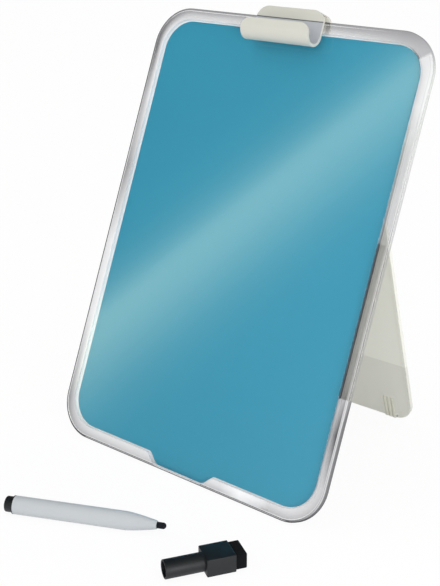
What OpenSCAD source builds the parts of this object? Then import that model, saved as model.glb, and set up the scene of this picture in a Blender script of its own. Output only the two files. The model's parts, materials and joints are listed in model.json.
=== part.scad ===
// Desk easel board: a glass writing panel in a clear frame, leaning back on a hinged leg,
// with a pen clip on its top edge and its marker and eraser cap lying in front of it.
// The origin is on the table, under the middle of the board's bottom edge.
// X runs to the right, Y to the back and Z up. Lengths are in millimetres.

/* [Coloured field] */
// Width of the coloured field behind the glass
field_w = 210; // [160:1:260]
// Height of the coloured field behind the glass
field_h = 297; // [280:1:330]
// Corner radius of the coloured field
field_r = 21; // [14:0.5:26]
// Thickness of the coloured film
film_t = 0.2; // [0.1:0.05:0.3]

/* [Tab at the bottom of the field] */
// How far the tab reaches below the field
tab_h = 7.25; // [5:0.25:7.25]
// Width of the tab along its bottom edge
tab_w = 41; // [30:1:60]
// How much wider the tab is on each side where it leaves the field
tab_flare = 7.5; // [5:0.5:12]
// Radius of the tab's bottom corners
tab_tip_r = 8; // [5:0.5:9]
// Radius of the curve where the tab leaves the field
tab_root_r = 3; // [2:0.5:3]

/* [Glass, adhesive and steel] */
// Thickness of the glass
glass_t = 3; // [2.5:0.1:3.2]
// How far the glass and its adhesive reach past the coloured field
glass_margin = 0.75; // [0.5:0.05:0.8]
// Thickness of the adhesive sheet behind the film
bond_t = 0.2; // [0.1:0.05:0.3]
// Thickness of the steel sheet that magnets hold to
steel_t = 0.5; // [0.3:0.1:0.7]

/* [Clear frame] */
// Width of the clear border around the coloured field
border_w = 8.75; // [8.5:0.25:14]
// Outer corner radius of the frame
frame_r = 27; // [22:0.5:32]
// Thickness of the border
frame_t = 3.6; // [3.6:0.1:5]
// Thickness of the ledge that carries the glass
ledge_t = 0.8; // [0.6:0.1:1.2]
// How far the ledge reaches inwards under the coloured field
ledge_in = 5; // [3:0.5:8]
// How far the ledge reaches outwards behind the border
ledge_out = 1.5; // [1:0.1:3]
// Gap around the glass in the frame
glass_gap = 0.1; // [0.05:0.05:0.2]
// Width of the flat along the bottom edge that stands on the table
edge_flat = 0.8; // [0.4:0.1:1.2]

/* [Back cover] */
// Thickness of the back cover
cover_t = 2; // [1.8:0.1:3]
// How far the cover stays inside the edge of the coloured field
cover_inset = 1; // [0.5:0.1:3]
// Gap around the steel sheet and the cover's raised middle, inside the ledge
cover_gap = 0.3; // [0.1:0.1:0.6]

/* [Stance] */
// Angle that the board leans back from upright
lean = 22.7; // [20:0.1:27]
// Angle between the board and the open leg
open_angle = 40; // [37:0.5:44]

/* [Leg] */
// Width of the leg
leg_w = 163.5; // [140:0.5:180]
// Thickness of the leg
leg_t = 3; // [2.4:0.1:3.4]
// Radius of the leg's bottom corners
leg_r = 15.5; // [8:0.5:18]
// Air between the folded leg and the back cover
leg_air = 0.8; // [0.6:0.1:1.2]
// Distance from the hinge axis to the leg's top edge
leg_top_drop = 4.2; // [4:0.1:6]
// Height of the leg's edge above the table, which the feet fill
foot_out = 0.6; // [0.3:0.1:1.2]
// Width of each foot
foot_w = 9; // [6:0.5:14]
// Height of each foot's strip up the leg
foot_h = 18; // [10:1:30]
// How far each foot stands proud of the leg's faces
foot_proud = 0.25; // [0.1:0.05:0.4]
// Distance of each foot's middle from the leg's side edge
foot_inset = 18.75; // [18:0.25:30]

/* [Hinge] */
// Distance of the hinge axis below the top of the coloured field
hinge_drop = 62; // [50:1:80]
// Distance of each hinge's middle from the leg's side edge
hinge_inset = 31.75; // [20:0.25:45]
// Diameter of the hinge pins
pin_d = 3; // [2:0.1:3.4]
// Wall of the knuckles around the pins
knuckle_wall = 1.7; // [1.5:0.1:2.2]
// Width of each knuckle
knuckle_w = 20; // [18:0.5:30]
// Air between the knuckles and the back cover
knuckle_air = 0.4; // [0.3:0.1:0.8]
// Thickness of the ears on each bracket
ear_t = 3; // [2:0.1:4]
// Gap between a knuckle and each ear beside it
ear_gap = 0.3; // [0.2:0.05:0.6]
// Radial gap of a pin that turns in its knuckle
pin_gap = 0.06; // [0.02:0.01:0.1]
// Radial press of a pin in its ears
pin_press = 0.01; // [0.005:0.005:0.02]
// Height above the axis of the face that stops the leg
stop_up = 5; // [5:0.1:6]
// Gap left at the stop with the leg open
stop_gap = 0.05; // [0.02:0.01:0.1]
// Depth of the stop's web along the board
stop_web = 3; // [2:0.5:5]
// Thickness of the bracket's base plate
base_t = 2; // [1.6:0.1:2.4]
// Length of the base plate beyond the stop's web
base_len = 15; // [12:0.5:20]

/* [Bracket screws] */
// Diameter of the screw threads
screw_d = 2.2; // [1.6:0.1:2.6]
// Diameter of the screw heads
screw_head_d = 4.4; // [3.6:0.1:5]
// Height of the screw heads
screw_head_h = 1.4; // [1:0.1:1.8]
// Distance between the two screws of a bracket
screw_pitch = 14; // [10:0.5:16]
// Radial gap around the screws in the base plate
screw_gap = 0.2; // [0.1:0.05:0.3]
// Depth that the screws reach into the back cover
screw_bite = 1.6; // [1:0.1:1.7]
// Width of the slots in the screw heads
slot_w = 0.7; // [0.5:0.1:1]
// Length of a screw's slot
slot_len = 3; // [2:0.1:3.4]

/* [Pen clip] */
// Width of the clip
clip_w = 55; // [40:1:80]
// Wall thickness of the clip
clip_wall = 2; // [1.6:0.1:2.6]
// Diameter of the pen that the tray is made for
tray_d = 12.3; // [12:0.1:15]
// Distance from the frame's top edge down to the bottom of the tray
tray_drop = 18.85; // [18:0.05:24]
// Height of the tray's front lip above its bottom
lip_h = 13.2; // [10:0.1:15]
// Radius of the front lip's top corners
lip_r = 7; // [4:0.5:7]
// Height of the clip's roof above the frame's top edge
roof_up = 6.6; // [5:0.1:9]
// Radius of the clip's shoulders
shoulder_r = 9; // [5:0.5:12]
// How far the rear jaw reaches down behind the frame's top edge
jaw_drop = 18.5; // [16:0.5:24]
// Radius of the rear jaw's bottom corners
jaw_r = 4; // [2:0.5:6]
// Gap between the clip and the front of the frame
clip_gap = 0.15; // [0.1:0.05:0.3]
// Gap between the clip's ribs and the frame's top edge
rib_gap = 0.25; // [0.1:0.05:0.4]
// Thickness of the ribs under the roof
rib_t = 2; // [1.5:0.1:3]
// Distance between the ribs under the roof
rib_pitch = 18; // [12:1:20]
// Thickness of the grip pad on the rear jaw
pad_t = 0.6; // [0.4:0.1:1]
// Width of the grip pad
pad_w = 40; // [24:1:50]
// Height of the grip pad
pad_h = 6; // [4:0.5:7]
// Gap between the grip pad and the back cover
pad_gap = 0.2; // [0.1:0.05:0.3]

/* [Marker pen] */
// Diameter of the pen's barrel
pen_d = 11.7; // [10:0.1:11.8]
// Length of the straight part of the barrel
barrel_len = 73.4; // [60:0.1:90]
// Length of the barrel's nose
nose_len = 20.7; // [15:0.1:26]
// Diameter of the barrel at its nib end
nose_d = 5.4; // [5.2:0.1:6.4]
// Wall of the barrel
barrel_wall = 1; // [0.8:0.1:1.2]
// Diameter of the nib
nib_d = 4; // [3:0.1:4.2]
// Length of nib that shows
nib_out = 5.8; // [4:0.1:7]
// Radial gap of the nib and the ink core in the barrel
core_gap = 0.05; // [0.02:0.01:0.1]
// Air between the ink core and the end plug
core_air = 2.4; // [0.5:0.1:6]
// Length of nib behind the nose's straight channel
nib_tail = 3; // [1:0.5:5]
// Length of end plug that shows
plug_out = 5.7; // [4:0.1:7]
// Diameter of the end plug's head
plug_d = 10; // [8:0.1:10]
// Thickness of the end plug's flange
flange_t = 0.8; // [0.5:0.1:1.2]
// Length of the end plug inside the barrel
plug_in = 6; // [4:0.5:7]
// Place of the pen's end plug on the table
pen_at = [-53.8, -103.2];
// Direction in which the pen points
pen_yaw = 24.9; // [10:0.1:30]

/* [Eraser cap] */
// Height of the cap's block, and diameter of its sleeve
cap_h = 11.5; // [10.8:0.1:13]
// Width of the cap's block
cap_w = 17; // [15:0.1:20]
// Length of the cap's block
cap_len = 18; // [15:0.1:24]
// Length of the cap's sleeve
sleeve_len = 23.8; // [21:0.1:28]
// Bore of the cap's sleeve
sleeve_bore = 9.6; // [8:0.1:9.8]
// Depth of the sleeve's bore
bore_depth = 20; // [18:0.1:21]
// Width of the eraser felt
felt_w = 15.5; // [12:0.1:15.6]
// Height of the eraser felt
felt_h = 10; // [8:0.1:10]
// Length of felt that shows
felt_out = 6.8; // [4:0.1:9]
// Depth of the felt's recess in the block
felt_in = 1.5; // [1:0.1:2.5]
// Width of the magnet inside the block
magnet_w = 12; // [8:0.5:13]
// Length of the magnet inside the block
magnet_len = 8; // [5:0.5:9]
// Thickness of the magnet inside the block
magnet_t = 2; // [1.5:0.1:2.5]
// Wall under the magnet
magnet_floor = 1.3; // [1:0.1:1.8]
// Gap around the magnet and the felt
pocket_gap = 0.1; // [0.05:0.05:0.2]
// Place of the block's sleeve end on the table
cap_at = [83.6, -73.3];
// Direction from the cap's mouth to its felt
cap_yaw = 59; // [40:0.5:75]

/* [Hidden] */
$fn = 96;
// Steps in a quarter of a field or frame corner, and in each curve of the tab
corner_steps = 20;
tab_steps = 6;
// Length that cutting shapes run past the faces that they cut
past = 1;
// Share of the nose's drop in radius that its curve follows
nose_power = 1.35;
nose_steps = 12;
nose_share = [for (i = [0 : nose_steps]) i / nose_steps];

// Levels through the board, forwards from the rear face of its border
bond_z = frame_t - glass_t - film_t - bond_t;
film_z = bond_z + bond_t;
glass_z = film_z + film_t;
ledge_z = bond_z - ledge_t;
steel_z = bond_z - steel_t;
cover_z = ledge_z - cover_t;
knuckle_r = pin_d / 2 + knuckle_wall;
axis_off = knuckle_r + knuckle_air;
hinge_z = cover_z - axis_off;

// Heights along the board, upwards from its bottom edge
field_y = border_w;
frame_w = field_w + 2 * border_w;
frame_h = field_h + 2 * border_w;
hinge_y = field_y + field_h - hinge_drop;

// How far the board's bottom corner is lowered and cut to make its flat
flat_drop = edge_flat * sin(lean) * cos(lean);

// The leg, which leans forwards at its top by leg_tilt when open
leg_tilt = open_angle - lean;
leg_front = axis_off - leg_air;
hinge_x = leg_w / 2 - hinge_inset;
foot_x = leg_w / 2 - foot_inset;
hinge_up = hinge_y * cos(lean) + hinge_z * sin(lean) - flat_drop;
leg_len = (hinge_up - leg_front * sin(leg_tilt) - foot_out) / cos(leg_tilt);
foot_below = foot_out + (leg_t + 2 * foot_proud) * sin(leg_tilt) + past;

// The pen clip, in the board's directions
plate_z = frame_t + clip_gap;
tray_r = tray_d / 2;
tray_y = frame_h - tray_drop + clip_wall + tray_r;
tray_z = plate_z + clip_wall + tray_r;
lip_top = frame_h - tray_drop + lip_h;
roof_top = frame_h + roof_up;
pad_z = cover_z - pad_gap - pad_t;
jaw_z = pad_z - clip_wall;
jaw_bottom = frame_h - jaw_drop;
cover_top = field_y + field_h - cover_inset;
pad_y = (jaw_bottom + cover_top) / 2;

// The pen, along its axis from the end of its plug
barrel_z = plug_out;
nose_z = barrel_z + barrel_len;
nib_z = nose_z + nose_len;
nose_wall_z = nose_z - nib_tail;
core_z = plug_out + plug_in + core_air;

// ---- Placing -------------------------------------------------------------------------

// Puts a shape drawn on the board where the leaning board is
module on_board() {
    translate([0, 0, -flat_drop]) rotate([90 - lean, 0, 0]) children();
}

// Puts a shape drawn around the hinge axis, with Y up the board, where the board's hinge is
module at_hinge() {
    on_board() translate([0, hinge_y, hinge_z]) children();
}

// Puts a shape drawn on the folded leg, from the hinge axis, where the open leg is
module on_leg() {
    at_hinge() rotate([open_angle, 0, 0]) children();
}

// Puts a shape drawn along the pen's axis where the pen lies
module on_pen() {
    translate([pen_at.x, pen_at.y, pen_d / 2]) rotate([0, 0, pen_yaw]) rotate([0, 90, 0])
        children();
}

// Puts a shape drawn on the table, with X from the cap's mouth to its felt, where the cap lies
module on_cap() {
    translate([cap_at.x, cap_at.y, 0]) rotate([0, 0, cap_yaw]) children();
}

// Cuts away what reaches below the table
module above_table() {
    difference() {
        children();
        translate([-frame_w, -frame_h, -frame_h]) cube([2 * frame_w, 3 * frame_h, frame_h]);
    }
}

// Extrudes an outline drawn in Y and Z along X, centred
module along_x(length) {
    translate([-length / 2, 0, 0]) rotate([90, 0, 90]) linear_extrude(length) children();
}

// ---- Outlines ------------------------------------------------------------------------

function arc(centre, radius, from, to, steps) = [
    for (i = [0 : steps])
        let (a = from + (to - from) * i / steps) centre + radius * [cos(a), sin(a)]
];

// The corners of a rectangle from the bottom right, anticlockwise, as arcs of the radius given
function corner_arcs(w, h, r, y) = [
    for (k = [0 : 3])
        let (sx = (k == 0 || k == 1) ? 1 : -1, top = (k == 1 || k == 2) ? h - r : r)
            arc([sx * (w / 2 - r), y + top], r, 90 * k - 90, 90 * k, corner_steps)
];

function joined(lists) = [for (list = lists) each list];

// The curves of the tab's right side, from its bottom to where it meets the field
function tab_side(grow) = let (
    slope = atan2(tab_h, tab_flare),
    tip = [tab_w / 2 - tab_tip_r * tan(slope / 2), field_y - tab_h + tab_tip_r],
    root = [tab_w / 2 + tab_flare + tab_root_r * tan(slope / 2), field_y - tab_root_r]
) concat(
    arc(tip, tab_tip_r + grow, -90, slope - 90, tab_steps),
    arc(root, tab_root_r - grow, 90 + slope, 90, tab_steps)
);

function mirrored(points) = [for (i = [len(points) - 1 : -1 : 0]) [-points[i].x, points[i].y]];

// The coloured field's outline with its tab, grown outwards
module field_with_tab(grow) {
    corners = corner_arcs(field_w + 2 * grow, field_h + 2 * grow, field_r + grow, field_y - grow);
    side = tab_side(grow);
    polygon(concat(side, joined(corners), mirrored(side)));
}

// The coloured field's outline without its tab, grown outwards
module field(grow) {
    polygon(joined(
        corner_arcs(field_w + 2 * grow, field_h + 2 * grow, field_r + grow, field_y - grow)));
}

module tab_only(grow) {
    side = tab_side(grow);
    polygon(concat(side, mirrored(side)));
}

module slab(z, thickness) {
    translate([0, 0, z]) linear_extrude(thickness) children();
}

// ---- Board ---------------------------------------------------------------------------

module clear_frame() {
    color([0.93, 0.94, 0.95, 0.4]) above_table() on_board() difference() {
        union() {
            slab(0, frame_t) polygon(joined(corner_arcs(frame_w, frame_h, frame_r, 0)));
            slab(ledge_z, -ledge_z) {
                field(ledge_out);
                tab_only(glass_margin + glass_gap);
            }
        }
        slab(bond_z, frame_t) field_with_tab(glass_margin + glass_gap);
        slab(ledge_z - past, frame_t) field(-ledge_in);
    }
}

module glass_panel() {
    color([0.75, 0.88, 0.9, 0.35]) on_board() slab(glass_z, glass_t)
        field_with_tab(glass_margin);
}

module colour_film() {
    color([0.25, 0.6, 0.7]) on_board() slab(film_z, film_t) field_with_tab(0);
}

module bonding_sheet() {
    color([0.95, 0.95, 0.93]) on_board() slab(bond_z, bond_t) field_with_tab(glass_margin);
}

module steel_sheet() {
    color([0.7, 0.71, 0.73]) on_board() slab(steel_z, steel_t) field(-ledge_in - cover_gap);
}

// The cover lies on the ledge, and its raised middle lies on the steel sheet
module back_cover() {
    color([0.86, 0.85, 0.81]) on_board() difference() {
        union() {
            slab(cover_z, cover_t) field(-cover_inset);
            slab(cover_z, steel_z - cover_z) field(-ledge_in - cover_gap);
        }
        for (side = [-1, 1]) bracket_screw_holes(side, screw_d / 2, -screw_bite);
    }
}

// ---- Hinges --------------------------------------------------------------------------

bracket_w = knuckle_w + 2 * (ear_gap + ear_t);
bracket_top = stop_up + stop_web + base_len;
screw_y = bracket_top - base_len / 2;

// Holes along the screws, from the cover's rear face by depth: backwards, or forwards if negative
module bracket_screw_holes(side, radius, depth) {
    for (dx = [-1, 1])
        translate([side * hinge_x + dx * screw_pitch / 2, hinge_y + screw_y, cover_z])
            rotate([depth > 0 ? 180 : 0, 0, 0]) cylinder(r = radius, h = abs(depth));
}

// A bracket from the side: its ears, round at the pin, its base plate and its web
module bracket_outline() {
    polygon(concat(
        arc([0, 0], knuckle_r, 180, 270, corner_steps),
        [[stop_up + stop_web, -knuckle_r], [bracket_top, axis_off - base_t],
         [bracket_top, axis_off], [-knuckle_r, axis_off]]));
}

// Two ears that hold the pin, a base plate for the screws, and the web that stops the leg
module hinge_bracket(side) {
    color([0.86, 0.85, 0.81]) difference() {
        at_hinge() translate([side * hinge_x, 0, 0]) difference() {
            along_x(bracket_w) difference() {
                bracket_outline();
                circle(pin_d / 2 - pin_press);
            }
            along_x(bracket_w - 2 * ear_t) {
                translate([-knuckle_r - past, -knuckle_r - past])
                    square([knuckle_r + past + stop_up, knuckle_r + axis_off + 2 * past]);
                translate([stop_up + stop_web, -knuckle_r - past])
                    square([base_len + past, knuckle_r + past + axis_off - base_t]);
            }
        }
        on_board() bracket_screw_holes(side, screw_d / 2 + screw_gap, base_t + past);
    }
}

module hinge_pin(side) {
    color([0.6, 0.61, 0.63]) at_hinge() translate([side * hinge_x, 0, 0])
        along_x(bracket_w) circle(pin_d / 2);
}

// A screw along Z, with its head's underside at 0 and its thread running upwards
module bracket_screw() {
    cylinder(d = screw_d, h = base_t + screw_bite);
    difference() {
        translate([0, 0, -screw_head_h]) cylinder(d = screw_head_d, h = screw_head_h);
        for (turn = [0, 90])
            rotate([0, 0, turn]) translate([0, 0, -screw_head_h])
                cube([slot_len, slot_w, screw_head_h], center = true);
    }
}

module bracket_screws() {
    color([0.55, 0.56, 0.58]) on_board() for (side = [-1, 1], dx = [-1, 1])
        translate([side * hinge_x + dx * screw_pitch / 2, hinge_y + screw_y, cover_z - base_t])
            bracket_screw();
}

// ---- Leg -----------------------------------------------------------------------------

// The leg's plate from the front, from its top edge down to its rounded corners
module leg_outline() {
    top = -leg_top_drop;
    polygon(concat(
        arc([leg_w / 2 - leg_r, leg_r - leg_len], leg_r, -90, 0, corner_steps),
        [[leg_w / 2, top], [-leg_w / 2, top]],
        arc([leg_r - leg_w / 2, leg_r - leg_len], leg_r, 180, 270, corner_steps)));
    for (side = [-1, 1])
        translate([side * hinge_x - knuckle_w / 2, top - past])
            square([knuckle_w, leg_top_drop + past]);
}

// A knuckle round the pin, with the nose that meets the bracket's web when the leg is open
module leg_knuckle(side) {
    nose = stop_up - stop_gap;
    translate([side * hinge_x, 0, 0]) along_x(knuckle_w) rotate(-open_angle) polygon(concat(
        arc([0, 0], knuckle_r, 0, 270, 3 * corner_steps), [[nose, -knuckle_r], [nose, 0]]));
}

module leg_panel() {
    color([0.84, 0.83, 0.78]) on_leg() difference() {
        union() {
            slab(leg_front - leg_t, leg_t) leg_outline();
            for (side = [-1, 1]) leg_knuckle(side);
        }
        for (side = [-1, 1]) {
            translate([side * hinge_x, 0, 0]) along_x(knuckle_w + past)
                circle(pin_d / 2 + pin_gap);
            foot_block(side, past, past);
        }
    }
}

// The space of a foot in the leg's bottom edge, with how far it stands proud and reaches below
module foot_block(side, proud, below) {
    translate([side * foot_x - foot_w / 2, -leg_len - below, leg_front - leg_t - proud])
        cube([foot_w, foot_h + below, leg_t + 2 * proud]);
}

module leg_foot(side) {
    color([0.62, 0.62, 0.6]) above_table() on_leg() foot_block(side, foot_proud, foot_below);
}

// ---- Pen clip ------------------------------------------------------------------------

// The clip from the side: a tray in front, a roof over the frame's edge and a jaw behind it
module clip_profile() {
    tray = [tray_y, tray_z];
    polygon(concat(
        [[jaw_bottom, jaw_z], [roof_top, jaw_z], [roof_top, plate_z + clip_wall]],
        arc(tray, tray_r, 270, 90, corner_steps),
        [[lip_top, tray_z + tray_r], [lip_top, tray_z + tray_r + clip_wall]],
        arc(tray, tray_r + clip_wall, 90, 270, corner_steps),
        [[roof_top - clip_wall, plate_z], [roof_top - clip_wall, jaw_z + clip_wall],
         [jaw_bottom, jaw_z + clip_wall]]));
}

// What is cut off to round the clip's two corners at a height, from a level and forwards.
// The clip lies below the height, or above it where up is true.
module round_corners(height, radius, level, depth, up = false) {
    for (side = [0, 1])
        mirror([side, 0, 0]) translate([clip_w / 2, height, level]) mirror([0, up ? 1 : 0, 0])
            linear_extrude(depth) polygon(concat(
                [[past, -radius], [past, past], [-radius, past]],
                arc([-radius, -radius], radius, 90, 0, tab_steps)));
}

module pen_clip() {
    color([0.85, 0.84, 0.8]) on_board() {
        difference() {
            along_x(clip_w) clip_profile();
            round_corners(roof_top, shoulder_r, jaw_z - past, plate_z + clip_wall - jaw_z + 2 * past);
            round_corners(lip_top, lip_r, tray_z, tray_r + clip_wall + past);
            round_corners(jaw_bottom, jaw_r, jaw_z - past, clip_wall + 2 * past, up = true);
        }
        for (dx = [-1, 0, 1])
            translate([dx * rib_pitch - rib_t / 2, frame_h + rib_gap, jaw_z + clip_wall / 2])
                cube([rib_t, roof_up - rib_gap - clip_wall / 2, plate_z - jaw_z]);
    }
}

module clip_grip_pad() {
    color([0.55, 0.55, 0.53]) on_board() translate([-pad_w / 2, pad_y - pad_h / 2, pad_z])
        cube([pad_w, pad_h, pad_t]);
}

// ---- Marker pen ----------------------------------------------------------------------

function nose_radius(share) =
    pen_d / 2 - (pen_d - nose_d) / 2 * pow(share, nose_power);

module pen_barrel() {
    color([0.86, 0.88, 0.89]) on_pen() difference() {
        rotate_extrude() polygon(concat(
            [[0, nib_z], [0, barrel_z], [pen_d / 2, barrel_z]],
            [for (share = nose_share) [nose_radius(share), nose_z + share * nose_len]]));
        translate([0, 0, barrel_z - past])
            cylinder(r = pen_d / 2 - barrel_wall, h = nose_wall_z - barrel_z + past);
        cylinder(d = nib_d + 2 * core_gap, h = nib_z + past);
    }
}

module pen_end_plug() {
    color([0.16, 0.17, 0.19]) on_pen() {
        cylinder(d = plug_d, h = plug_out);
        translate([0, 0, plug_out - flange_t]) cylinder(d = pen_d, h = flange_t);
        cylinder(r = pen_d / 2 - barrel_wall - core_gap, h = plug_out + plug_in);
    }
}

module ink_core() {
    color([0.2, 0.21, 0.24]) on_pen() translate([0, 0, core_z])
        cylinder(r = pen_d / 2 - barrel_wall - core_gap, h = nose_wall_z - core_z);
}

// The nib reaches back through the nose to the ink core, and its tip is worn a little flat
module pen_nib() {
    tip = [0, nib_z + nib_out - nib_d / 2];
    round_tip = arc(tip, nib_d / 2, 0, 75, tab_steps);
    color([0.1, 0.1, 0.12]) on_pen() rotate_extrude() polygon(concat(
        [[0, nose_wall_z], [nib_d / 2, nose_wall_z]], round_tip,
        [[0, round_tip[tab_steps].y]]));
}

// ---- Eraser cap ----------------------------------------------------------------------

module cap_shell() {
    color([0.17, 0.18, 0.2]) on_cap() difference() {
        union() {
            translate([-sleeve_len, 0, cap_h / 2]) rotate([0, 90, 0])
                cylinder(d = cap_h, h = sleeve_len + past);
            translate([0, -cap_w / 2, 0]) cube([cap_len, cap_w, cap_h]);
        }
        translate([-sleeve_len - past, 0, cap_h / 2]) rotate([0, 90, 0])
            cylinder(d = sleeve_bore, h = bore_depth + past);
        translate([cap_len - felt_in, -felt_w / 2 - pocket_gap, (cap_h - felt_h) / 2 - pocket_gap])
            cube([felt_in + past, felt_w + 2 * pocket_gap, felt_h + 2 * pocket_gap]);
        translate([cap_len - felt_in - magnet_len - pocket_gap,
                   -magnet_w / 2 - pocket_gap, magnet_floor])
            cube([magnet_len + felt_in, magnet_w + 2 * pocket_gap, magnet_t + pocket_gap]);
    }
}

module cap_magnet() {
    color([0.62, 0.63, 0.65]) on_cap()
        translate([cap_len - felt_in - magnet_len, -magnet_w / 2, magnet_floor])
            cube([magnet_len, magnet_w, magnet_t]);
}

module eraser_felt() {
    color([0.09, 0.09, 0.1]) on_cap()
        translate([cap_len - felt_in, -felt_w / 2, (cap_h - felt_h) / 2])
            cube([felt_in + felt_out, felt_w, felt_h]);
}

// ---- Nodes ---------------------------------------------------------------------------

clear_frame();
glass_panel();
colour_film();
bonding_sheet();
steel_sheet();
back_cover();
hinge_bracket(-1);  // hinge_bracket_left
hinge_bracket(1);  // hinge_bracket_right
hinge_pin(-1);  // hinge_pin_left
hinge_pin(1);  // hinge_pin_right
bracket_screws();
leg_panel();
leg_foot(-1);  // leg_foot_left
leg_foot(1);  // leg_foot_right
pen_clip();
clip_grip_pad();
pen_barrel();
pen_end_plug();
ink_core();
pen_nib();
cap_shell();
cap_magnet();
eraser_felt();
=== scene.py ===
"""A glass writing board in a clear frame on a hinged leg, with its pen clip, marker and cap.

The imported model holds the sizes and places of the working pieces. This script rounds their edges,
gives every surface its finish, and lights them in a plain studio. Lengths are in metres.
"""

import json
import math

import bmesh
import bpy
from mathutils import Matrix, Vector
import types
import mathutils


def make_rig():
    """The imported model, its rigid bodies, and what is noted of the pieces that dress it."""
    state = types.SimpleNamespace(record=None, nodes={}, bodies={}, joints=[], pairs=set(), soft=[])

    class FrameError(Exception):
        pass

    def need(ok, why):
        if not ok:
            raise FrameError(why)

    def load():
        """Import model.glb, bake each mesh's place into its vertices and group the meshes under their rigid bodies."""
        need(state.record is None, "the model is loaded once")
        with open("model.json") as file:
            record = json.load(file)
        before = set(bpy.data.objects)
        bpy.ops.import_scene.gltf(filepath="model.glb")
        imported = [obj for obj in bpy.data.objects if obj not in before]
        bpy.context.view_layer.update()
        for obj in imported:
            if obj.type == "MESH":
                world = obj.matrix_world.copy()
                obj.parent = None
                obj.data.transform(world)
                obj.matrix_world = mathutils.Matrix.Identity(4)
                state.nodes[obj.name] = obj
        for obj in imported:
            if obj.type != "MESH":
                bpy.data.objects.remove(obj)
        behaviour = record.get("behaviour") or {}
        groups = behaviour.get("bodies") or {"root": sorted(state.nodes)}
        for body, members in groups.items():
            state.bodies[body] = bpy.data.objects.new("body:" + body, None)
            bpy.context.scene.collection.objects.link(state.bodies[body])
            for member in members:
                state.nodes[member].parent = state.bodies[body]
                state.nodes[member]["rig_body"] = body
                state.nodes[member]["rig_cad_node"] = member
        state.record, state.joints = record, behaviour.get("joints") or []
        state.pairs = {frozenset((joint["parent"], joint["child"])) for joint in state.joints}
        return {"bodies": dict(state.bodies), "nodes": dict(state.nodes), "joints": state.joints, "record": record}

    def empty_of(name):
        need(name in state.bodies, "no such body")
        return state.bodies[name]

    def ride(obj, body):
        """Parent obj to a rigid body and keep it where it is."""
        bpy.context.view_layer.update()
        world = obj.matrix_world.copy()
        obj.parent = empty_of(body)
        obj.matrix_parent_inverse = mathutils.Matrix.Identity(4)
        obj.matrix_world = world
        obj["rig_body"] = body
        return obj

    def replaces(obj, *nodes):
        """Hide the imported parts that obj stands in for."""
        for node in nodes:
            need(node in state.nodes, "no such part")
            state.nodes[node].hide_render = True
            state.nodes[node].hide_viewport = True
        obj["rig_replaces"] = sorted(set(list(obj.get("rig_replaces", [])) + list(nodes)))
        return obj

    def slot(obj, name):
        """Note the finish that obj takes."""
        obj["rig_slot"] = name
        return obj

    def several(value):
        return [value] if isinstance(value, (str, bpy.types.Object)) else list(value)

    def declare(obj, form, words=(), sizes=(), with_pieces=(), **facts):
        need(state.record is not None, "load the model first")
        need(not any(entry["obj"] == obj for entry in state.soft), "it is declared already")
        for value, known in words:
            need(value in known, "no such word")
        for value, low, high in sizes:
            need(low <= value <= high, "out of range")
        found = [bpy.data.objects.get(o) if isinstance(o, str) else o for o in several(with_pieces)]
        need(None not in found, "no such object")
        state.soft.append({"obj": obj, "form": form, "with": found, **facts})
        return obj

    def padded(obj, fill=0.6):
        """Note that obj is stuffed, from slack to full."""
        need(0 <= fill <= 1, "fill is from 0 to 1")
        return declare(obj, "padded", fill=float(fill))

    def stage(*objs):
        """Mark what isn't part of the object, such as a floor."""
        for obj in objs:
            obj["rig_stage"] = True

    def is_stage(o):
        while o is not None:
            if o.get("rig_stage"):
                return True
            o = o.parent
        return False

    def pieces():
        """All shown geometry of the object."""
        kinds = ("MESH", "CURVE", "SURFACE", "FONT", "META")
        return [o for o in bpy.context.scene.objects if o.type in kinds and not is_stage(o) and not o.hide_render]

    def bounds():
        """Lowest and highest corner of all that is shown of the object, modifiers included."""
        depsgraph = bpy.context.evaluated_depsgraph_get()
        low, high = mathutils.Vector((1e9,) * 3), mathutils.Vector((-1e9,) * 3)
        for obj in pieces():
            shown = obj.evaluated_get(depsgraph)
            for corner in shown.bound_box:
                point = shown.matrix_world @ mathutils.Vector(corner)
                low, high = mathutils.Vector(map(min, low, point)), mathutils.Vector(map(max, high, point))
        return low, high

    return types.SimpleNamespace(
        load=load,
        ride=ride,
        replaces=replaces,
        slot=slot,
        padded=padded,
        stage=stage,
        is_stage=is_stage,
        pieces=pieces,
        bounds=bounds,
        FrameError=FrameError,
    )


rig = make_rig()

MM = 0.001

# ---- Driving sizes, as in the part's source ----

FIELD_W, FIELD_H, FIELD_R = 210 * MM, 297 * MM, 21 * MM
BORDER, FRAME_R, FRAME_T = 8.75 * MM, 27 * MM, 3.6 * MM
TAB_H, TAB_W, TAB_FLARE = 7.25 * MM, 41 * MM, 7.5 * MM
TAB_TIP_R, TAB_ROOT_R = 8 * MM, 3 * MM
GLASS_MARGIN, GLASS_GAP = 0.75 * MM, 0.1 * MM
LEDGE_IN, LEDGE_OUT = 5 * MM, 1.5 * MM
BOND_Z, FILM_Z, GLASS_Z, LEDGE_Z = 0.2 * MM, 0.4 * MM, 0.6 * MM, -0.6 * MM
COVER_Z, COVER_INSET = -2.6 * MM, 1 * MM
LEAN, OPEN = math.radians(22.7), math.radians(40)
EDGE_FLAT = 0.8 * MM
HINGE_Y, HINGE_Z = BORDER + FIELD_H - 62 * MM, COVER_Z - 3.6 * MM
LEG_T, LEG_FRONT, FOOT_OUT = 3 * MM, 2.8 * MM, 0.6 * MM
FOOT_X, FOOT_W, FOOT_H, FOOT_PROUD = 63 * MM, 9 * MM, 18 * MM, 0.25 * MM
PEN_AT, PEN_YAW, PEN_D = (-53.8 * MM, -103.2 * MM), math.radians(24.9), 11.7 * MM
PLUG_OUT, BARREL_LEN, NOSE_LEN, NOSE_D = 5.7 * MM, 73.4 * MM, 20.7 * MM, 5.4 * MM
NIB_D, NIB_OUT = 4 * MM, 5.8 * MM
CAP_AT, CAP_YAW = (83.6 * MM, -73.3 * MM), math.radians(59)
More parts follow.
